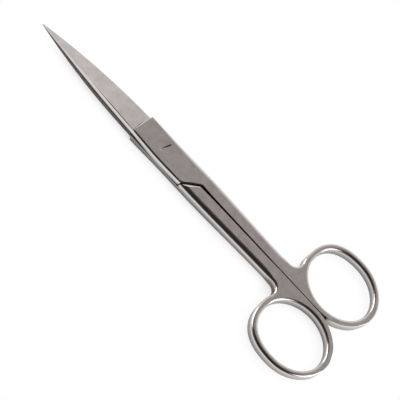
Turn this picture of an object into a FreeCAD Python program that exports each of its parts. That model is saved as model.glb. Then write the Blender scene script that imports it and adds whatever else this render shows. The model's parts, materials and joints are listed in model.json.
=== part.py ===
import FreeCAD, Part
import math
import os

# Operating scissors, straight, sharp points, closed. Millimetres.
# +Y runs to the points, +X to the finger ring of the upper half, +Z up through the pivot screw.
# The origin is on the pivot axis, in the flat underside of the joint.

# Sizes along the scissors, measured from the pivot axis
POINT_REACH = 55.0
PLUNGE_REACH = 10.7
HEEL_REACH = 10.3
SHOULDER_CORNER_REACH = 11.5
CROTCH_REACH = 16.8
SHANK_START_REACH = 18.0
SHANK_MIDDLE_REACH = 35.0
RING_CENTRE_REACH = 70.6

# Thickness of the stock, at the joint and at the far end of the rings
JOINT_THICKNESS = 5.0
RING_THICKNESS = 3.5
INNER_FACE_GAP = 0.04

# Half widths of the outline, from the centre line
POINT_HALF_WIDTH = 0.12
HEEL_HALF_WIDTH = 4.25
PIVOT_HALF_WIDTH = 4.88
SHANK_START_HALF_WIDTH = 5.2
SHANK_MIDDLE_HALF_WIDTH = 4.92
SHANK_END_HALF_WIDTH = 4.6
HEEL_SPREAD = 0.05
BACK_BELLY = 0.65
EDGE_BELLY = 1.1
EDGE_OVERLAP = 0.5

# Slit between the shanks, as half its width
CROTCH_HALF_GAP = 0.35
CROTCH_RADIUS = 1.0
RING_HALF_GAP = 0.1

# Shoulder where a half steps up to its full thickness
SHOULDER_RUNNING_GAP = 0.35
SHOULDER_CORNER_RADIUS = 2.0
SHOULDER_CHAMFER_DROP = 0.4
SHOULDER_CHAMFER_RUN_OUTSIDE = 0.95
SHOULDER_CHAMFER_RUN_AT_SLIT = 0.5

# Finger rings
RING_HOLE_HALF_WIDTH = 10.6
RING_HOLE_HALF_LENGTH = 12.25
RING_WIRE = 2.15
RING_ROOT_FULLNESS = 2.4
RING_END_FULLNESS = 2.0
RING_POINTS = 6
NOTCH_RADIUS = 3.0

# Ground bevel on the outside of each blade: height over the parting plane and fall across it.
# Its heel slants towards the rings on the cutting side.
BEVEL_HEEL_HEIGHT = 1.75
BEVEL_MIDDLE_HEIGHT = 1.6
BEVEL_POINT_HEIGHT = 0.22
BEVEL_HEEL_FALL = 0.165
BEVEL_MIDDLE_FALL = 0.24
BEVEL_POINT_FALL = 0.28
BEVEL_MIDDLE_REACH = 26.0
PLUNGE_RADIUS = 0.5
PLUNGE_BITE = 0.03
PLUNGE_SLANT = 0.12
EDGE_FACET_ANGLE = 18.0

# Hollow ground into the inner face of each blade
HOLLOW_HEEL_WIDTH = 7.0
HOLLOW_HEEL_DEPTH = 0.14
HOLLOW_POINT_WIDTH = 0.7
HOLLOW_POINT_DEPTH = 0.02
HOLLOW_END_GAP = 5.0

# Roundings of the outside edges
JOINT_EDGE_RADIUS = 0.55
BLADE_BACK_RADIUS = 0.3
SHANK_EDGE_RADIUS = 1.5
RING_EDGE_RADIUS = 0.85
SLIT_EDGE_RADIUS = 0.12

# Pivot screw
HEAD_DIAMETER = 5.0
HEAD_RIM = 0.25
HEAD_DISH_DEPTH = 0.05
HEAD_DISH_RIM = 0.2
SCREW_DIAMETER = 2.8
THREAD_DIAMETER = 2.4
SLOT_WIDTH = 0.45
SLOT_DEPTH = 0.45
SLOT_FALL = 7.0
SLOT_ANGLE = -18.3
RUNNING_CLEARANCE = 0.03
THREAD_CLEARANCE = 0.02

# Worked out from the sizes above
PARTING = JOINT_THICKNESS / 2
INNER_FACE = PARTING + INNER_FACE_GAP / 2
RING_CENTRE_X = RING_HOLE_HALF_WIDTH + RING_WIRE + RING_HALF_GAP
RING_END_REACH = RING_CENTRE_REACH + RING_HOLE_HALF_LENGTH + RING_WIRE
BEYOND = 10.0
OVERRUN = 1.0
PLACE_TOLERANCE = 0.05


def at(x, y, z=0.0):
    return FreeCAD.Vector(x, y, z)


def line(start, end):
    return Part.LineSegment(start, end).toShape()


def bowed(start, end, bow):
    """Arc from start to end that stands off its chord by bow, to the left of its direction."""
    chord = end - start
    left = at(-chord.y, chord.x).normalize()
    middle = (start + end) * 0.5 + left * bow
    return Part.Arc(start, middle, end).toShape()


def spline(points, start_tangent, end_tangent):
    curve = Part.BSplineCurve()
    curve.interpolate(Points=points, InitialTangent=start_tangent, FinalTangent=end_tangent)
    return curve.toShape()


def prism(edges, bottom, top):
    """Upright solid over a closed outline in the XY plane."""
    wire = Part.Wire(Part.__sortEdges__(edges))
    wire.translate(at(0, 0, bottom))
    return Part.Face(wire).extrude(at(0, 0, top - bottom))


def side_prism(corners, half_width):
    """Solid over a closed outline given as (y, z), spread to both sides of the YZ plane."""
    points = [at(-half_width, y, z) for y, z in corners]
    wire = Part.makePolygon(points + points[:1])
    return Part.Face(wire).extrude(at(2 * half_width, 0, 0))


def oval_point(angle, half_width, half_length, full_at_slit):
    """Point of a finger ring's oval, fuller at its root, on the side of the slit only if asked."""
    side = math.cos(angle)
    along = math.sin(angle)
    full = along > 0 and (side > 0 or full_at_slit)
    fullness = RING_ROOT_FULLNESS if full else RING_END_FULLNESS
    x = math.copysign(abs(side) ** (2 / fullness), side)
    y = math.copysign(abs(along) ** (2 / fullness), along)
    return at(RING_CENTRE_X + half_width * x, -RING_CENTRE_REACH + half_length * y)


def ring_hole():
    steps = 4 * RING_POINTS
    points = [
        oval_point(2 * math.pi * k / steps, RING_HOLE_HALF_WIDTH, RING_HOLE_HALF_LENGTH, False)
        for k in range(steps)
    ]
    curve = Part.BSplineCurve()
    curve.interpolate(Points=points, PeriodicFlag=True)
    return prism([curve.toShape()], -BEYOND, JOINT_THICKNESS + BEYOND)


def outer_ring_edges():
    """The oval's outer edge, from the slit round the far end to where the shank meets it."""
    half_width = RING_HOLE_HALF_WIDTH + RING_WIRE
    half_length = RING_HOLE_HALF_LENGTH + RING_WIRE
    inset = (RING_CENTRE_X - SHANK_END_HALF_WIDTH) / half_width
    side = inset ** (RING_ROOT_FULLNESS / 2)
    meeting_angle = 2 * math.pi + math.pi - math.acos(side)
    first = [math.pi * (1 + 0.5 * k / RING_POINTS) for k in range(RING_POINTS + 1)]
    span = meeting_angle - first[-1]
    steps = 3 * RING_POINTS
    second = [first[-1] + span * k / steps for k in range(steps + 1)]
    slit_side = [oval_point(a, half_width, half_length, True) for a in first]
    far_side = [oval_point(a, half_width, half_length, True) for a in second]
    leaving = far_side[-1] - far_side[-2]
    return [
        spline(slit_side, at(0, -1), at(1, 0)),
        spline(far_side, at(1, 0), leaving),
    ]


def side_spline(start, through, end, sign):
    """Side of the joint, from the blade's heel through the pivot to the shank or shoulder."""
    return spline([start, through, end], at(sign * HEEL_SPREAD, -1), at(0, -1))


def handle_edges():
    """Plan of the upper half without its blade: joint, shank and the outside of its ring."""
    cutting_heel = at(HEEL_HALF_WIDTH + EDGE_OVERLAP, HEEL_REACH)
    spine_heel = at(-HEEL_HALF_WIDTH, HEEL_REACH)
    shank_start = at(SHANK_START_HALF_WIDTH, -SHANK_START_REACH)
    shank_middle = at(SHANK_MIDDLE_HALF_WIDTH, -SHANK_MIDDLE_REACH)
    corner = at(-PIVOT_HALF_WIDTH, -SHOULDER_CORNER_REACH)
    crotch = at(CROTCH_HALF_GAP, -CROTCH_REACH)
    slit_end = at(RING_HALF_GAP, -RING_CENTRE_REACH)
    slit_middle = at(
        RING_HALF_GAP + (CROTCH_HALF_GAP - RING_HALF_GAP) / 4,
        -(RING_CENTRE_REACH + CROTCH_REACH) / 2,
    )
    ring = outer_ring_edges()
    ring_meeting = ring[1].lastVertex().Point
    down = at(0, -1)
    return [
        side_spline(cutting_heel, at(PIVOT_HALF_WIDTH, 0), shank_start, 1),
        spline([shank_start, shank_middle, ring_meeting], down, down),
        *ring,
        Part.Arc(slit_end, slit_middle, crotch).toShape(),
        line(crotch, corner),
        side_spline(spine_heel, at(-PIVOT_HALF_WIDTH, 0), corner, -1),
        line(spine_heel, cutting_heel),
    ]


def tapered_sides():
    """Side view of the stock: flat at the joint, thinner towards the rings."""
    taper = (JOINT_THICKNESS - RING_THICKNESS) / 2
    return side_prism(
        [
            (HEEL_REACH, 0),
            (-SHANK_START_REACH, 0),
            (-RING_END_REACH, taper),
            (-RING_END_REACH, JOINT_THICKNESS - taper),
            (-SHANK_START_REACH, JOINT_THICKNESS),
            (HEEL_REACH, JOINT_THICKNESS),
        ],
        2 * RING_CENTRE_X + RING_WIRE,
    )


def upright_edges(shape, place):
    """Edges that stand upright at a place in plan."""
    found = []
    for edge in shape.Edges:
        start = edge.Vertexes[0].Point
        end = edge.Vertexes[-1].Point
        upright = abs(start.z - end.z) > RING_THICKNESS / 2
        if upright and math.dist(start[:2], place[:2]) < PLACE_TOLERANCE:
            found.append(edge)
    return found


def rim_edge(shape, place, upper):
    """Number of the edge in the upper or lower rim whose middle is nearest to a place in plan."""
    middle_level = shape.BoundBox.Center.z
    candidates = []
    for number, edge in enumerate(shape.Edges, 1):
        middle = edge.valueAt((edge.FirstParameter + edge.LastParameter) / 2)
        levels = [vertex.Point.z for vertex in edge.Vertexes]
        level = max(levels) - min(levels) < RING_THICKNESS / 2
        if level and (middle.z > middle_level) == upper:
            candidates.append((math.dist(middle[:2], place), number))
    return min(candidates)[1]


def rounded(shape, roundings):
    """Rounds the rims through the given places, each to its own radius, blending between."""
    document = FreeCAD.newDocument("rounding")
    base = document.addObject("Part::Feature", "base")
    base.Shape = shape
    fillet = document.addObject("Part::Fillet", "fillet")
    fillet.Base = base
    fillet.Edges = [
        (rim_edge(shape, place, upper), radius, radius)
        for place, radius in roundings
        for upper in (True, False)
    ]
    document.recompute()
    result = fillet.Shape.copy()
    FreeCAD.closeDocument(document.Name)
    if not result.isValid():
        raise ValueError("the rounding of the handle came out invalid")
    return result


def chamfer_section(foot, run):
    """Triangle that takes a chamfer off a wall that ends at its foot."""
    drop = at(0, 0, SHOULDER_CHAMFER_DROP)
    points = [foot + drop, foot + run * 2 - drop, foot - drop]
    return Part.makePolygon(points + points[:1])


def under_shoulder():
    """What is milled away under the upper half, ahead of its full-thickness shank."""
    start = at(-CROTCH_HALF_GAP, -CROTCH_REACH)
    end = at(PIVOT_HALF_WIDTH, -SHOULDER_CORNER_REACH)
    along = (end - start).normalize()
    back = at(along.y, -along.x)
    near = start + back * SHOULDER_RUNNING_GAP - along * (2 * RING_CENTRE_X)
    far = start + back * SHOULDER_RUNNING_GAP + along * (2 * RING_CENTRE_X)
    forward = back * -(POINT_REACH + BEYOND)
    milled = prism(
        [
            line(near, far),
            line(far, far + forward),
            line(far + forward, near + forward),
            line(near + forward, near),
        ],
        -BEYOND,
        INNER_FACE,
    )
    wall = back * SHOULDER_RUNNING_GAP
    chamfer = [
        chamfer_section(start + wall, back * SHOULDER_CHAMFER_RUN_AT_SLIT),
        chamfer_section(end + along * OVERRUN + wall, back * SHOULDER_CHAMFER_RUN_OUTSIDE),
    ]
    return milled.fuse(Part.makeLoft(chamfer, True, True))


def handle():
    """The upper half up to its blade, with every outside edge rounded."""
    blank = prism(handle_edges(), 0, JOINT_THICKNESS).cut(ring_hole())
    blank = blank.common(tapered_sides())
    meeting = outer_ring_edges()[1].lastVertex().Point
    corner = at(-PIVOT_HALF_WIDTH, -SHOULDER_CORNER_REACH)
    crotch = at(CROTCH_HALF_GAP, -CROTCH_REACH)
    for place, radius in (
        (meeting, NOTCH_RADIUS),
        (corner, SHOULDER_CORNER_RADIUS),
        (crotch, CROTCH_RADIUS),
    ):
        blank = blank.makeFillet(radius, upright_edges(blank, place))
    far_side = at(2 * RING_CENTRE_X, -RING_CENTRE_REACH)
    blank = rounded(
        blank,
        [
            ((-PIVOT_HALF_WIDTH, 0), JOINT_EDGE_RADIUS),
            ((PIVOT_HALF_WIDTH, -SHANK_START_REACH / 4), JOINT_EDGE_RADIUS),
            ((SHANK_MIDDLE_HALF_WIDTH, -SHANK_MIDDLE_REACH), SHANK_EDGE_RADIUS),
            ((far_side.x, far_side.y), RING_EDGE_RADIUS),
            ((0, -(CROTCH_REACH + RING_CENTRE_REACH) / 2), SLIT_EDGE_RADIUS),
            ((RING_CENTRE_X - RING_HOLE_HALF_WIDTH, -RING_CENTRE_REACH), RING_EDGE_RADIUS),
        ],
    )
    return blank.cut(under_shoulder())


def bevel_section(reach, height, fall, slant):
    """Section across a blade of what the grinding takes off above the bevel."""
    low = PARTING + height
    back = reach + slant * BEYOND
    edge = reach - slant * BEYOND
    points = [
        at(-BEYOND, back, low + fall * BEYOND),
        at(BEYOND, edge, low - fall * BEYOND),
        at(BEYOND, edge, JOINT_THICKNESS + BEYOND),
        at(-BEYOND, back, JOINT_THICKNESS + BEYOND),
    ]
    return Part.makePolygon(points + points[:1])


def bevel_cutter():
    """The bevel's grinding, run out at its heel to the radius of the wheel."""
    sections = [
        bevel_section(PLUNGE_REACH, BEVEL_HEEL_HEIGHT, BEVEL_HEEL_FALL, PLUNGE_SLANT),
        bevel_section(BEVEL_MIDDLE_REACH, BEVEL_MIDDLE_HEIGHT, BEVEL_MIDDLE_FALL, 0),
        bevel_section(POINT_REACH + OVERRUN, BEVEL_POINT_HEIGHT, BEVEL_POINT_FALL, 0),
    ]
    across = at(1, -PLUNGE_SLANT, -BEVEL_HEEL_FALL).normalize()
    lift = at(BEVEL_HEEL_FALL, 0, 1).normalize()
    ahead = lift.cross(across)
    middle = at(0, PLUNGE_REACH, PARTING + BEVEL_HEEL_HEIGHT) + lift * (PLUNGE_RADIUS - PLUNGE_BITE)
    start = middle - across * BEYOND
    behind = start - ahead * PLUNGE_RADIUS
    wheel = Part.makeCylinder(PLUNGE_RADIUS, 2 * BEYOND, start, across)
    corners = [behind, start, start + lift * BEYOND, behind + lift * BEYOND]
    wall = Part.Face(Part.makePolygon(corners + corners[:1])).extrude(across * (2 * BEYOND))
    return Part.makeLoft(sections, True, False).fuse([wheel, wall])


def edge_facet(cutting_side):
    """What the facet takes off a blade, leaning in from its cutting edge."""
    lean = math.tan(math.radians(EDGE_FACET_ANGLE))
    centre = cutting_side.Curve.Center
    radius = cutting_side.Curve.Radius
    points = [
        at(centre.x + radius, centre.y, INNER_FACE),
        at(centre.x + radius + BEYOND, centre.y, INNER_FACE),
        at(centre.x + radius + BEYOND, centre.y, INNER_FACE + BEYOND),
        at(centre.x + radius - lean * BEYOND, centre.y, INNER_FACE + BEYOND),
    ]
    profile = Part.Face(Part.makePolygon(points + points[:1]))
    ring = profile.revolve(centre, at(0, 0, 1), 360)
    length = POINT_REACH + BEYOND - HEEL_REACH
    ahead = Part.makeBox(2 * BEYOND, length, BEYOND, at(-BEYOND, HEEL_REACH, 0))
    return ring.common(ahead)


def hollow_section(reach, width, depth):
    """Segment of a circle, its chord in the inner face."""
    left = at(-width / 2, reach, INNER_FACE)
    right = at(width / 2, reach, INNER_FACE)
    crown = at(0, reach, INNER_FACE + depth)
    return Part.Wire([Part.Arc(left, crown, right).toShape(), line(right, left)])


def hollow_grinding():
    sections = [
        hollow_section(HEEL_REACH, HOLLOW_HEEL_WIDTH, HOLLOW_HEEL_DEPTH),
        hollow_section(
            POINT_REACH - HOLLOW_END_GAP, HOLLOW_POINT_WIDTH, HOLLOW_POINT_DEPTH
        ),
    ]
    return Part.makeLoft(sections, True, True)


def blade():
    """The upper half's blade: rounded back, ground bevel, facet and hollow inner face."""
    cutting_heel = at(HEEL_HALF_WIDTH + EDGE_OVERLAP, HEEL_REACH)
    cutting_point = at(POINT_HALF_WIDTH, POINT_REACH)
    spine_heel = at(-HEEL_HALF_WIDTH, HEEL_REACH)
    spine_point = at(-POINT_HALF_WIDTH, POINT_REACH)
    spine = bowed(spine_heel, spine_point, BACK_BELLY)
    cutting_side = bowed(cutting_heel, cutting_point, -EDGE_BELLY)
    wide_point = at(BEYOND, POINT_REACH)
    wide_heel = at(BEYOND, HEEL_REACH)
    stock = prism(
        [
            spine,
            line(spine_point, wide_point),
            line(wide_point, wide_heel),
            line(wide_heel, spine_heel),
        ],
        INNER_FACE,
        JOINT_THICKNESS,
    )
    spine_middle = spine.valueAt((spine.FirstParameter + spine.LastParameter) / 2)
    back = rim_edge(stock, spine_middle[:2], True)
    stock = stock.makeFillet(BLADE_BACK_RADIUS, [stock.Edges[back - 1]])
    outline = prism(
        [
            spine,
            line(spine_point, cutting_point),
            cutting_side,
            line(cutting_heel, spine_heel),
        ],
        INNER_FACE,
        JOINT_THICKNESS,
    )
    stock = stock.common(outline).cut(edge_facet(cutting_side))
    return stock.cut(hollow_grinding())


def half():
    """One half of the scissors, laid out as the upper one, before its screw hole."""
    whole = handle().fuse(blade()).removeSplitter()
    return whole.cut(bevel_cutter()).removeSplitter()


def turned_over(shape):
    """The other half: the same forging, turned over about the centre line."""
    other = shape.copy()
    other.rotate(at(0, 0, PARTING), at(0, 1, 0), 180)
    return other


def cylinder(radius, bottom, top):
    return Part.makeCylinder(radius, top - bottom, at(0, 0, bottom))


def screw_body(clearance, top):
    """Countersunk head and plain neck of the screw, grown all round by a clearance."""
    head = HEAD_DIAMETER / 2 + clearance
    neck = SCREW_DIAMETER / 2 + clearance
    seat = JOINT_THICKNESS - HEAD_RIM
    cone = Part.makeCone(neck, head, head - neck, at(0, 0, seat - (head - neck)))
    rim = cylinder(head, seat, top)
    return cylinder(neck, PARTING, seat).fuse([cone, rim]).removeSplitter()


def slot():
    """Driver slot across the head, deeper at one end because the head was filed at a slant."""
    length = 2 * HEAD_DIAMETER
    bottom = JOINT_THICKNESS - SLOT_DEPTH
    cut = Part.makeBox(
        length, SLOT_WIDTH, BEYOND, at(-length / 2, -SLOT_WIDTH / 2, bottom)
    )
    cut.rotate(at(0, 0, bottom), at(0, 1, 0), SLOT_FALL)
    cut.rotate(at(0, 0), at(0, 0, 1), SLOT_ANGLE)
    return cut


def head_dish():
    """Shallow hollow left in the head where it was filed in."""
    rim = HEAD_DIAMETER / 2 - HEAD_DISH_RIM
    radius = (rim**2 + HEAD_DISH_DEPTH**2) / (2 * HEAD_DISH_DEPTH)
    centre = JOINT_THICKNESS - HEAD_DISH_DEPTH + radius
    return Part.makeSphere(radius, at(0, 0, centre))


def pivot_screw():
    screw = screw_body(0, JOINT_THICKNESS)
    thread = cylinder(THREAD_DIAMETER / 2, 0, PARTING)
    screw = screw.fuse(thread).removeSplitter()
    return screw.cut(head_dish()).cut(slot())


def upper_half(blank):
    return blank.cut(screw_body(RUNNING_CLEARANCE, JOINT_THICKNESS + BEYOND))


def lower_half(blank):
    hole = cylinder(THREAD_DIAMETER / 2 + THREAD_CLEARANCE, -BEYOND, JOINT_THICKNESS)
    return turned_over(blank).cut(hole)


def main():
    os.makedirs("parts", exist_ok=True)
    blank = half()
    nodes = {
        "upper_half": upper_half(blank),
        "lower_half": lower_half(blank),
        "pivot_screw": pivot_screw(),
    }
    for name, shape in nodes.items():
        solid = shape.Solids[0]
        box = solid.BoundBox
        print(
            f"{name}: {len(shape.Solids)} solid, valid {shape.isValid()},"
            f" {len(shape.Faces)} faces, {solid.Volume:.1f} mm3,"
            f" {box.XLength:.2f} x {box.YLength:.2f} x {box.ZLength:.2f} mm"
        )
        solid.exportStep(f"parts/{name}.step")


if __name__ == "__main__":
    main()
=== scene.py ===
"""Finishes and studio for straight operating scissors in satin and polished steel."""

import json
import math

import bpy
from mathutils import Matrix, Vector


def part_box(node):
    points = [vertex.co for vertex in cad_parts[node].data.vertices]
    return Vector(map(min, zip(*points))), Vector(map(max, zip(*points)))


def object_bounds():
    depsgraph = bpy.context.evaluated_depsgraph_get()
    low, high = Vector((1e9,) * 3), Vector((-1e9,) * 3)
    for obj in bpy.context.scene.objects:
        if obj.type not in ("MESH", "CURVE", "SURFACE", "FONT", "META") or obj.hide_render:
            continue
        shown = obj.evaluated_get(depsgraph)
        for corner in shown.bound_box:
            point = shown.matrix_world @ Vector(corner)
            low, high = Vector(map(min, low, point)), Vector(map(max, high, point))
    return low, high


bl_info = {
    "name": "Operating Scissors",
    "version": (1, 0, 0),
    "blender": (4, 5, 0),
    "location": "3D View > Sidebar > Scissors",
    "description": "Steel finishes and a plain studio for straight operating scissors",
    "category": "Material",
}

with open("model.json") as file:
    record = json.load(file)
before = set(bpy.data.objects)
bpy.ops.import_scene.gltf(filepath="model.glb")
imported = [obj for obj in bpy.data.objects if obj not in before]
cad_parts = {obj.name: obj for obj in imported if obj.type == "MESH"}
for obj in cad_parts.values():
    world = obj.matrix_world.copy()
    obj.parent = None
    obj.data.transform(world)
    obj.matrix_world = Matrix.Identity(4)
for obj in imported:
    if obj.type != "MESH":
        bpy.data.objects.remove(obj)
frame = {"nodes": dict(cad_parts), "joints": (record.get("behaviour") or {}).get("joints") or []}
CAD_LOW, CAD_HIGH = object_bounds()

MM = 0.001
HALVES = ("upper_half", "lower_half")
SCREW = "pivot_screw"
PIVOT = Vector(frame["joints"][0]["pos_m"])

# Places on the scissors in millimetres. The points, the bevels' heels and the crotch are
# measured along them from the pivot, and the shoulder square to its own slanting line.
PARTING_HEIGHT = PIVOT.z / MM
SCREW_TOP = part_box(SCREW)[1].z / MM
POINT_REACH = (CAD_HIGH.y - PIVOT.y) / MM
PLUNGE_REACH = POINT_REACH * 0.1945
CROTCH_REACH = POINT_REACH * 0.305
SHOULDER_REACH = POINT_REACH * 0.21
SHOULDER_DIRECTION = (-0.712, -0.702, 0.0)
JOINT_HALF_WIDTH = POINT_REACH * 0.0887

# Where a kind of face begins or ends, by how level it is: 0 is upright and 1 is level.
UPRIGHT_ENDS = (0.3, 0.5)
SLOPE_ENDS = (0.97, 0.99)
FLAT_BEGINS = (0.992, 0.998)
BEVEL_BEGINS = (0.90, 0.95)
BACK_EDGE_BEGINS = (0.1, 0.3)
BACK_EDGE_ENDS = (0.8, 0.88)

# Where a finish or a painted shade begins or ends, in millimetres.
BLADE_BEGINS = (PLUNGE_REACH - 0.1, PLUNGE_REACH + 0.3)
INNER_FACE_ENDS = (0.2, 0.3)
SLIT_HALF_WIDTH = (0.5, 0.7)
SLIT_BEGINS = (CROTCH_REACH - 0.2, CROTCH_REACH + 0.1)
SLIT_EDGE_ENDS = (POINT_REACH * 0.873, POINT_REACH * 0.982)
GAP_BEGINS = (SHOULDER_REACH - 0.6, SHOULDER_REACH - 0.45)
GAP_ENDS = (SHOULDER_REACH + 0.3, SHOULDER_REACH + 0.4)
GAP_HALF_WIDTH = (JOINT_HALF_WIDTH - 0.25, JOINT_HALF_WIDTH - 0.1)
SLOT_WALLS_END = (SCREW_TOP - 0.6, SCREW_TOP - 0.2)

# How light each finish is beside its colour: at its darkest and lightest, or all over for the
# painted shade.
GROUND_SHADES = (0.8, 1.1)
POLISHED_SHADES = (0.96, 1.03)
SCREW_SHADES = (0.88, 1.04)
# Lightness of the painted shade in the screw's slot.
SLOT_PAINTED_SHADE = 0.15
# Lightness of the painted shade in the gaps and of the painted dark reflection along the blades'
# backs.
PAINTED_DARK_SHADE = 0.06

# How far each texture swings the roughness, what the inner faces and the slot add to it, and
# the roughness of the walls in the gaps.
GRAIN_SWING = 0.08
CLOUD_SWING = 0.06
LINE_SWING = 0.10
RUB_SWING = 0.08
SCREW_SWING = 0.1
INNER_FACE_ROUGHNESS = 0.25
SLOT_ROUGHNESS = 0.15
GAP_ROUGHNESS = 0.7

# Tones of the studio by degrees from the middle of its dark ceiling.
ROOM_TONES = (
    (28, (0.032, 0.027, 0.025)),
    (36, (0.085, 0.075, 0.07)),
    (45, (0.21, 0.195, 0.185)),
    (57, (0.405, 0.38, 0.365)),
    (70, (0.66, 0.64, 0.625)),
    (82, (0.85, 0.83, 0.82)),
    (100, (1.0, 1.0, 1.0)),
)
WHITE = (1.0, 1.0, 1.0)

# How light the paper is in the open and under the scissors, where shade is painted, and the rays
# that tell them apart.
PAPER_SHADES = (1.0, 0.0)
SHADOW_SAMPLES = 24

# Where the soft lamps hang off the points and off the rings, in metres.
POINT_LAMP_PLACE = Vector((0.10, 0.75, 0.55))
RING_LAMP_PLACE = Vector((0.05, -0.80, 0.55))


class Flow:
    """One output of a shader node, used as a value in Python expressions."""

    def __init__(self, tree, socket=None):
        self.tree = tree
        self.socket = socket

    def node(self, kind, settings=None, inputs=None, output=0):
        """Adds a node. Its settings are made first, then its sockets get values or links.

        It returns the output that is named or numbered, or nothing where output is None.
        """
        added = self.tree.nodes.new(kind)
        for name, value in (settings or {}).items():
            if name == "stops":
                self.set_stops(added.color_ramp, value)
            else:
                setattr(added, name, value)
        for name, value in (inputs or {}).items():
            if isinstance(value, Flow):
                self.tree.links.new(value.socket, added.inputs[name])
            else:
                added.inputs[name].default_value = value
        return None if output is None else Flow(self.tree, added.outputs[output])

    @staticmethod
    def set_stops(ramp, stops):
        """Gives a colour ramp its places and colours."""
        while len(ramp.elements) < len(stops):
            ramp.elements.new(1.0)
        for element, (place, colour) in zip(ramp.elements, stops):
            element.position = place
            element.color = colour

    def maths(self, operation, *values):
        """Math node on the values that are given, each a number or an output."""
        inputs = dict(enumerate(values))
        return self.node("ShaderNodeMath", {"operation": operation}, inputs)

    def __add__(self, other):
        return self.maths("ADD", self, other)

    def __radd__(self, other):
        return self.maths("ADD", other, self)

    def __sub__(self, other):
        return self.maths("SUBTRACT", self, other)

    def __rsub__(self, other):
        return self.maths("SUBTRACT", other, self)

    def __mul__(self, other):
        return self.maths("MULTIPLY", self, other)

    def __rmul__(self, other):
        return self.maths("MULTIPLY", other, self)

    def __neg__(self):
        return self * -1.0

    def __abs__(self):
        return self.maths("ABSOLUTE", self)

    def either(self, other):
        """Mask that holds where this one or the other does."""
        return self.maths("MAXIMUM", self, other)

    def rises(self, low, high):
        """0 below low, 1 above high, and smooth in between."""
        return self.node(
            "ShaderNodeMapRange",
            {"interpolation_type": "SMOOTHSTEP"},
            {"Value": self, "From Min": low, "From Max": high},
        )

    def falls(self, low, high):
        """1 below low, 0 above high, and smooth in between."""
        return 1.0 - self.rises(low, high)

    def fade(self, first, second):
        """Number that goes from first to second as this mask goes from 0 to 1."""
        return first + (second - first) * self

    def swing(self, width):
        """Noise turned into a change of up to half the width, up or down."""
        return (self - 0.5) * width

    def blend(self, first, second):
        """Colour that goes from first to second as this mask goes from 0 to 1."""
        return self.node(
            "ShaderNodeMix", {"data_type": "RGBA"}, {0: self, 6: first, 7: second}, 2
        )

    def tint(self, colour, shades):
        """Colour that goes from its first shade to its second as this goes from 0 to 1."""
        first, second = shades
        return self.blend(shade(colour, first), shade(colour, second))

    def axis(self, name):
        """X, Y or Z of a vector."""
        return self.node("ShaderNodeSeparateXYZ", None, {0: self}, name)

    def dot(self, direction):
        """How far a vector reaches in a direction."""
        inputs = {0: self, 1: direction}
        return self.node("ShaderNodeVectorMath", {"operation": "DOT_PRODUCT"}, inputs, "Value")

    def stretched(self, scale):
        """Vector whose X, Y and Z are multiplied by the scale's."""
        inputs = {0: self, 1: scale}
        return self.node("ShaderNodeVectorMath", {"operation": "MULTIPLY"}, inputs)

    def noise(self, scale, detail, roughness):
        """Noise from 0 to 1, its middle at 0.5, over this place."""
        inputs = {"Vector": self, "Scale": scale, "Detail": detail, "Roughness": roughness}
        return self.node("ShaderNodeTexNoise", None, inputs, "Fac")


def shade(colour, lightness=1.0):
    """Colour with its alpha, made lighter or darker."""
    return (*(channel * lightness for channel in colour), 1.0)


def empty_tree(owner):
    """Start of an empty node tree in a material or world."""
    owner.use_nodes = True
    owner.node_tree.nodes.clear()
    return Flow(owner.node_tree)


def steel(name, surface, finish):
    """Material of bare steel. Its surface gives a colour, roughness and height in millimetres."""
    material = bpy.data.materials.new(name)
    flow = empty_tree(material)
    colour, roughness, height = surface(flow, finish)
    bump_inputs = {"Strength": 1.0, "Distance": MM, "Height": height}
    bump = flow.node("ShaderNodeBump", None, bump_inputs)
    inputs = {"Base Color": colour, "Metallic": 1.0, "Roughness": roughness, "Normal": bump}
    metal = flow.node("ShaderNodeBsdfPrincipled", None, inputs)
    flow.node("ShaderNodeOutputMaterial", None, {"Surface": metal}, None)
    return material


def place_in_mm(flow):
    """The place on the piece, in millimetres, which stays with the piece as it moves."""
    place = flow.node("ShaderNodeTexCoord", output="Object")
    return place.stretched((1 / MM, 1 / MM, 1 / MM))


def facing_up_or_down(flow):
    """1 on level faces, 0 on upright ones."""
    return abs(flow.node("ShaderNodeTexCoord", output="Normal").axis("Z"))


def painted_gap_shade(place, level):
    """1 on the walls of the slit between the shanks and of the shoulder's upper gap: painted
    shade.
    """
    sideways = place.axis("X")
    off_middle = abs(sideways)
    behind = -place.axis("Y")
    past_shoulder = place.dot(SHOULDER_DIRECTION)
    slit = off_middle.falls(*SLIT_HALF_WIDTH) * behind.rises(*SLIT_BEGINS)
    slit_edge = slit * behind.falls(*SLIT_EDGE_ENDS)
    gap = past_shoulder.rises(*GAP_BEGINS) * past_shoulder.falls(*GAP_ENDS)
    gap = gap * sideways.falls(*SLIT_HALF_WIDTH) * off_middle.falls(*GAP_HALF_WIDTH)
    upright_walls = level.falls(*UPRIGHT_ENDS) * slit
    return upright_walls.either(level.falls(*SLOPE_ENDS) * gap.either(slit_edge))


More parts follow.
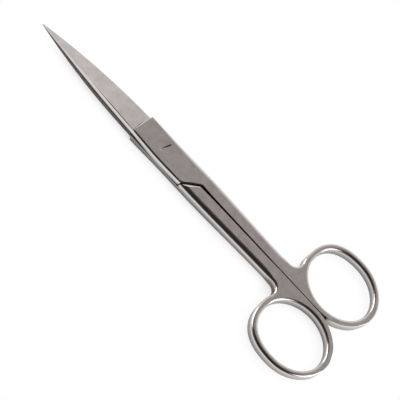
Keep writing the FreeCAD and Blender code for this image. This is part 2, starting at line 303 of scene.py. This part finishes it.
def half_surface(flow, finish):
    """Satin-ground flats, bevels ground across, edges and rings polished by hand."""
    place = place_in_mm(flow)
    level = facing_up_or_down(flow)
    off_parting = place.axis("Z") - PARTING_HEIGHT
    blade = place.axis("Y").rises(*BLADE_BEGINS)
    bevel = level.rises(*BEVEL_BEGINS) * blade
    ground = level.rises(*FLAT_BEGINS).either(bevel)
    # Painted dark reflection: the rounding along each blade's back is painted dark where it
    # mirrors the dark ceiling.
    painted_back_reflection = blade * level.rises(*BACK_EDGE_BEGINS) * level.falls(*BACK_EDGE_ENDS)
    inner_face = abs(off_parting).falls(*INNER_FACE_ENDS)
    # Mask of the painted shade in the gaps.
    shaded_gap = painted_gap_shade(place, level)

    clouds = place.noise(scale=0.35, detail=3.0, roughness=0.55)
    grain = place.stretched((2.2, 0.7, 1.0)).noise(scale=3.0, detail=3.0, roughness=0.6)
    lines_across = place.stretched((0.12, 4.5, 1.0)).noise(scale=1.4, detail=3.0, roughness=0.65)
    rub = place.stretched((1.0, 0.12, 1.0)).noise(scale=2.6, detail=2.0, roughness=0.5)
    wobble = place.noise(scale=0.28, detail=1.0, roughness=0.4)

    tone = 0.5 + clouds.swing(finish.cloudiness) + grain.swing(finish.grain)
    # The bevels' colour gets the painted sheen, lighter than the flats'.
    ground_colour = (tone + bevel * finish.bevel_painted_sheen).tint(finish.steel_colour, GROUND_SHADES)
    polished_colour = rub.tint(finish.polished_colour, POLISHED_SHADES)
    bare = ground.blend(polished_colour, ground_colour)
    # Painted shade in the gaps and a painted dark reflection along the blades' backs darken the
    # colour.
    colour = shaded_gap.either(painted_back_reflection).blend(bare, shade(finish.polished_colour, PAINTED_DARK_SHADE))

    satin = finish.satin_roughness + grain.swing(GRAIN_SWING) + clouds.swing(CLOUD_SWING)
    across = finish.bevel_roughness + lines_across.swing(LINE_SWING)
    across = across + inner_face * INNER_FACE_ROUGHNESS
    polish = finish.polished_roughness + rub.swing(RUB_SWING)
    finished = ground.fade(polish, blade.fade(satin, across))
    roughness = shaded_gap.fade(finished, GAP_ROUGHNESS)

    satin_height = grain.swing(finish.grain_depth)
    bevel_height = lines_across.swing(finish.line_depth)
    belly = off_parting * off_parting * finish.wall_belly
    polish_height = wobble.swing(finish.wobble_depth) + rub.swing(finish.rub_depth) - belly
    height = ground.fade(polish_height, blade.fade(satin_height, bevel_height))
    return colour, roughness, height


def screw_surface(flow, finish):
    """Screw filed flush: a satin head, and a slot with painted shade."""
    place = place_in_mm(flow)
    # Painted shade: the slot below the head's face is painted dark where shade falls in it.
    shaded_slot = place.axis("Z").falls(*SLOT_WALLS_END)
    grain = place.stretched((1.6, 0.8, 1.0)).noise(scale=3.2, detail=3.0, roughness=0.6)
    bare = grain.tint(finish.steel_colour, SCREW_SHADES)
    colour = shaded_slot.blend(bare, shade(finish.steel_colour, SLOT_PAINTED_SHADE))
    roughness = finish.satin_roughness + grain.swing(SCREW_SWING) + shaded_slot * SLOT_ROUGHNESS
    return colour, roughness, grain.swing(finish.grain_depth)


def seen_directly(flow):
    """1 for what the camera or a mirror sees, 0 for light on its way to a matt surface."""
    rays = ("Is Camera Ray", "Is Glossy Ray", "Is Transmission Ray")
    camera, glossy, through = (flow.node("ShaderNodeLightPath", output=ray) for ray in rays)
    return camera.either(glossy.either(through))


def paper(stage):
    """White paper that shows white to the camera and to the steel, with a soft shadow partly
    painted from occlusion.
    """
    material = bpy.data.materials.new("paper")
    flow = empty_tree(material)
    glow = flow.node("ShaderNodeEmission", None, {"Color": shade(WHITE), "Strength": 1.0})
    lean = Vector(stage.shadow_lean).normalized()
    towards_light = flow.node("ShaderNodeCombineXYZ", None, {0: lean.x, 1: lean.y, 2: lean.z})
    open_sky = flow.node(
        "ShaderNodeAmbientOcclusion",
        {"samples": SHADOW_SAMPLES},
        {"Distance": stage.contact_reach, "Normal": towards_light},
        "AO",
    )
    # Painted shadow: occlusion takes the white glow away near the scissors, so the lit matt paper
    # and its real shadow show there.
    hidden = 1.0 - open_sky
    to_camera = flow.node("ShaderNodeLightPath", output="Is Camera Ray")
    mirrored_shadow = hidden * (2.0 - hidden)
    seen_shadow = hidden * hidden * hidden * stage.shadow_strength
    shadow = to_camera.fade(mirrored_shadow, seen_shadow)
    share = seen_directly(flow) * (1.0 - shadow) * stage.paper_whiteness
    # Painted shade: in what the steel mirrors, the matt paper under the scissors is painted
    # darker.
    painted_contact_shade = hidden * (1.0 - to_camera) * stage.contact_depth
    colour = painted_contact_shade.tint(stage.paper_colour, PAPER_SHADES)
    matt = flow.node("ShaderNodeBsdfDiffuse", None, {"Color": colour})
    sheet = flow.node("ShaderNodeMixShader", None, {0: share, 1: matt, 2: glow})
    flow.node("ShaderNodeOutputMaterial", None, {"Surface": sheet}, None)
    return material


class SteelFinish(bpy.types.PropertyGroup):
    """Colours and textures of the steel."""

    steel_colour: bpy.props.FloatVectorProperty(
        name="Ground steel",
        description="Colour of the satin-ground faces",
        subtype="COLOR",
        default=(0.61, 0.568, 0.55),
        min=0,
        max=1,
    )
    polished_colour: bpy.props.FloatVectorProperty(
        name="Polished steel",
        description="Colour of the polished edges and rings",
        subtype="COLOR",
        default=(0.68, 0.65, 0.635),
        min=0,
        max=1,
    )
    # Painted sheen: the bevels' colour is made lighter than the flats', in place of the brighter
    # light that they mirror.
    bevel_painted_sheen: bpy.props.FloatProperty(
        name="Bevel lightness",
        description="How much lighter the freshly ground bevels are than the flats",
        default=0.05,
        min=0,
        max=1,
    )
    satin_roughness: bpy.props.FloatProperty(
        name="Satin roughness",
        description="Roughness of the flat faces",
        subtype="FACTOR",
        default=0.34,
        min=0,
        max=1,
    )
    bevel_roughness: bpy.props.FloatProperty(
        name="Bevel roughness",
        description="Roughness of the ground bevels, to which the inner faces add",
        subtype="FACTOR",
        default=0.30,
        min=0,
        max=1,
    )
    polished_roughness: bpy.props.FloatProperty(
        name="Polished roughness",
        description="Roughness of the polished edges and rings",
        subtype="FACTOR",
        default=0.13,
        min=0,
        max=1,
    )
    cloudiness: bpy.props.FloatProperty(
        name="Clouds",
        description="Contrast of the broad uneven patches of the satin faces",
        subtype="FACTOR",
        default=1.5,
        min=0,
        max=2,
    )
    grain: bpy.props.FloatProperty(
        name="Grain",
        description="Contrast of the fine grain of the satin faces",
        subtype="FACTOR",
        default=1.7,
        min=0,
        max=2,
    )
    grain_depth: bpy.props.FloatProperty(
        name="Grain depth",
        description="Depth of the satin grain in millimetres",
        default=0.012,
        min=0,
        max=0.2,
    )
    line_depth: bpy.props.FloatProperty(
        name="Grinding line depth",
        description="Depth of the lines ground across the blades in millimetres",
        default=0.010,
        min=0,
        max=0.2,
    )
    rub_depth: bpy.props.FloatProperty(
        name="Rub mark depth",
        description="Depth of the fine rub marks left by polishing in millimetres",
        default=0.002,
        min=0,
        max=0.2,
    )
    wall_belly: bpy.props.FloatProperty(
        name="Wall belly",
        description="How much upright walls bulge at half height, in mm for each square mm",
        default=0.07,
        min=0,
        max=0.3,
    )
    wobble_depth: bpy.props.FloatProperty(
        name="Polish unevenness",
        description="Depth of the slow waves that polishing by hand leaves, in millimetres",
        default=0.04,
        min=0,
        max=0.5,
    )


class StudioStage(bpy.types.PropertyGroup):
    """Paper, light and camera."""

    paper_colour: bpy.props.FloatVectorProperty(
        name="Paper",
        description="Colour of the paper that the scissors lie on",
        subtype="COLOR",
        default=(0.86, 0.86, 0.86),
        min=0,
        max=1,
    )
    paper_whiteness: bpy.props.FloatProperty(
        name="Whiteness",
        description="Share of plain white in the paper as the camera sees it",
        subtype="FACTOR",
        default=1.0,
        min=0,
        max=1,
    )
    contact_reach: bpy.props.FloatProperty(
        name="Contact shadow",
        description="How far the soft shadow reaches out from under the scissors",
        subtype="DISTANCE",
        default=0.005,
        min=0,
    )
    shadow_strength: bpy.props.FloatProperty(
        name="Shadow strength",
        description="Strength of the shadow as the camera sees it, beside what the steel mirrors",
        subtype="FACTOR",
        default=0.62,
        min=0,
        max=1,
    )
    # Strength of the painted shade on the paper under the scissors, as the steel mirrors it.
    contact_depth: bpy.props.FloatProperty(
        name="Contact depth",
        description="How dark the paper under the scissors shows in their walls",
        subtype="FACTOR",
        default=0.85,
        min=0,
        max=1,
    )
    shadow_lean: bpy.props.FloatVectorProperty(
        name="Shadow lean",
        description="Direction that the soft shadow falls away from",
        subtype="DIRECTION",
        default=(0.6, -0.35, 0.72),
    )
    paper_size: bpy.props.FloatProperty(
        name="Paper size",
        description="Side of the paper",
        subtype="DISTANCE",
        default=4.0,
        min=0.3,
    )
    lamp_size: bpy.props.FloatProperty(
        name="Lamp size",
        description="Side of each soft lamp",
        subtype="DISTANCE",
        default=0.7,
        min=0.01,
    )
    side_power: bpy.props.FloatProperty(
        name="Side lamps",
        description="Power of each soft lamp off the points and off the rings",
        subtype="POWER",
        default=3.0,
        min=0,
    )
    room_level: bpy.props.FloatProperty(
        name="Room light",
        description="Brightness of the light walls of the studio",
        default=1.0,
        min=0,
    )
    dark_tilt: bpy.props.FloatProperty(
        name="Ceiling tilt",
        description="How far the middle of the dark ceiling leans to the lower half's side",
        subtype="ANGLE",
        default=math.radians(25),
    )
    view_elevation: bpy.props.FloatProperty(
        name="Camera elevation",
        description="Height of the camera above the table, as an angle",
        subtype="ANGLE",
        default=math.radians(57.415),
    )
    view_azimuth: bpy.props.FloatProperty(
        name="Camera azimuth",
        description="Where the camera stands, 0 looking from the rings to the points",
        subtype="ANGLE",
        default=math.radians(-89.02),
    )
    view_roll: bpy.props.FloatProperty(
        name="Camera roll",
        description="Turn of the picture about the line of sight",
        subtype="ANGLE",
        default=math.radians(45.745),
    )
    view_distance: bpy.props.FloatProperty(
        name="Camera distance",
        description="From the camera to the middle of the picture",
        subtype="DISTANCE",
        default=0.6722,
        min=0.1,
    )
    view_target: bpy.props.FloatVectorProperty(
        name="Camera target",
        description="Point that shows in the middle of the picture",
        subtype="XYZ",
        unit="LENGTH",
        default=(-0.002517, -0.019702, 0.0025),
    )
    lens: bpy.props.FloatProperty(
        name="Lens",
        description="Focal length in millimetres on a sensor 36 mm wide",
        default=191.4,
        min=10,
    )


def dress(names, material):
    """Gives the named pieces their material."""
    for name in names:
        piece = frame["nodes"][name]
        piece.data.materials.clear()
        piece.data.materials.append(material)


class SCISSORS_OT_finish_halves(bpy.types.Operator):
    """Grind the flats and bevels of both halves and polish their edges and rings"""

    bl_idname = "scissors.finish_halves"
    bl_label = "Finish the halves"

    def execute(self, context):
        forged_steel = steel("forged_steel", half_surface, context.scene.scissors_steel)
        dress(HALVES, forged_steel)
        return {"FINISHED"}


class SCISSORS_OT_finish_screw(bpy.types.Operator):
    """Finish the pivot screw, filed flush, with painted shade in its slot"""

    bl_idname = "scissors.finish_screw"
    bl_label = "Finish the pivot screw"

    def execute(self, context):
        screw_steel = steel("screw_steel", screw_surface, context.scene.scissors_steel)
        dress([SCREW], screw_steel)
        return {"FINISHED"}


def lay_paper(stage):
    """White sheet at the height of the scissors' underside."""
    half = stage.paper_size / 2
    corners = [(-half, -half, 0), (half, -half, 0), (half, half, 0), (-half, half, 0)]
    mesh = bpy.data.meshes.new("paper")
    mesh.from_pydata(corners, [], [(0, 1, 2, 3)])
    mesh.materials.append(paper(stage))
    sheet = bpy.data.objects.new("paper", mesh)
    sheet.location.z = CAD_LOW.z
    bpy.context.scene.collection.objects.link(sheet)


def light_room(stage):
    """Light walls under a dark ceiling, which leans to the lower half's side."""
    world = bpy.data.worlds.new("studio")
    flow = empty_tree(world)
    direction = flow.node("ShaderNodeTexCoord", output="Generated")
    dark_middle = (-math.sin(stage.dark_tilt), 0.0, math.cos(stage.dark_tilt))
    facing = direction.dot(dark_middle)
    half_turns = facing.maths("ARCCOSINE", facing) * (1 / math.pi)
    stops = [(degrees / 180, shade(tone)) for degrees, tone in ROOM_TONES]
    room = flow.node("ShaderNodeValToRGB", {"stops": stops}, {0: half_turns})
    to_camera = flow.node("ShaderNodeLightPath", output="Is Camera Ray")
    colour = to_camera.blend(room, shade(WHITE))
    strength = to_camera.fade(stage.room_level, 1.0)
    background = flow.node("ShaderNodeBackground", None, {0: colour, 1: strength})
    flow.node("ShaderNodeOutputWorld", None, {"Surface": background}, None)
    bpy.context.scene.world = world


def hang_lamp(name, place, stage):
    """Square soft lamp that faces the pivot."""
    lamp = bpy.data.lights.new(name, "AREA")
    lamp.shape = "SQUARE"
    lamp.size = stage.lamp_size
    lamp.energy = stage.side_power
    holder = bpy.data.objects.new(name, lamp)
    holder.location = place
    holder.rotation_mode = "QUATERNION"
    holder.rotation_quaternion = (PIVOT - place).to_track_quat("-Z", "Y")
    bpy.context.scene.collection.objects.link(holder)


def set_camera(stage):
    """Camera that looks at the target from its azimuth and elevation, then rolls."""
    azimuth, elevation, roll = stage.view_azimuth, stage.view_elevation, stage.view_roll
    back = Vector((
        math.sin(azimuth) * math.cos(elevation),
        -math.cos(azimuth) * math.cos(elevation),
        math.sin(elevation),
    ))
    level_right = Vector((math.cos(azimuth), math.sin(azimuth), 0.0))
    level_up = back.cross(level_right)
    right = level_right * math.cos(roll) + level_up * math.sin(roll)
    up = level_up * math.cos(roll) - level_right * math.sin(roll)
    camera = bpy.data.cameras.new("camera")
    camera.lens = stage.lens
    camera.clip_start = 0.01
    holder = bpy.data.objects.new("camera", camera)
    turn = Matrix((right, up, back)).transposed().to_4x4()
    spot = Vector(stage.view_target) + back * stage.view_distance
    holder.matrix_world = Matrix.Translation(spot) @ turn
    bpy.context.scene.collection.objects.link(holder)
    bpy.context.scene.camera = holder


class SCISSORS_OT_set_stage(bpy.types.Operator):
    """Lay the white paper, light the studio and set up the camera"""

    bl_idname = "scissors.set_stage"
    bl_label = "Set the stage"

    def execute(self, context):
        stage = context.scene.scissors_stage
        lay_paper(stage)
        light_room(stage)
        hang_lamp("point_lamp", POINT_LAMP_PLACE, stage)
        hang_lamp("ring_lamp", RING_LAMP_PLACE, stage)
        set_camera(stage)
        context.scene.view_settings.view_transform = "Standard"
        return {"FINISHED"}


class SCISSORS_PT_panel(bpy.types.Panel):
    """Steps that finish the scissors and set their stage"""

    bl_idname = "SCISSORS_PT_panel"
    bl_label = "Scissors"
    bl_space_type = "VIEW_3D"
    bl_region_type = "UI"
    bl_category = "Scissors"

    def draw(self, context):
        for group in (context.scene.scissors_steel, context.scene.scissors_stage):
            for name in group.__annotations__:
                self.layout.prop(group, name)
        for step in STEPS:
            self.layout.operator(step.bl_idname)


STEPS = (SCISSORS_OT_finish_halves, SCISSORS_OT_finish_screw, SCISSORS_OT_set_stage)
CLASSES = (SteelFinish, StudioStage, *STEPS, SCISSORS_PT_panel)


def register():
    """Registers the classes and gives each scene its finish and stage."""
    for each in CLASSES:
        bpy.utils.register_class(each)
    bpy.types.Scene.scissors_steel = bpy.props.PointerProperty(type=SteelFinish)
    bpy.types.Scene.scissors_stage = bpy.props.PointerProperty(type=StudioStage)


def unregister():
    """Undoes what register does."""
    del bpy.types.Scene.scissors_stage
    del bpy.types.Scene.scissors_steel
    for each in reversed(CLASSES):
        bpy.utils.unregister_class(each)


def main():
    """Runs each step once."""
    register()
    bpy.ops.scissors.finish_halves()
    bpy.ops.scissors.finish_screw()
    bpy.ops.scissors.set_stage()


if __name__ == "__main__":
    main()
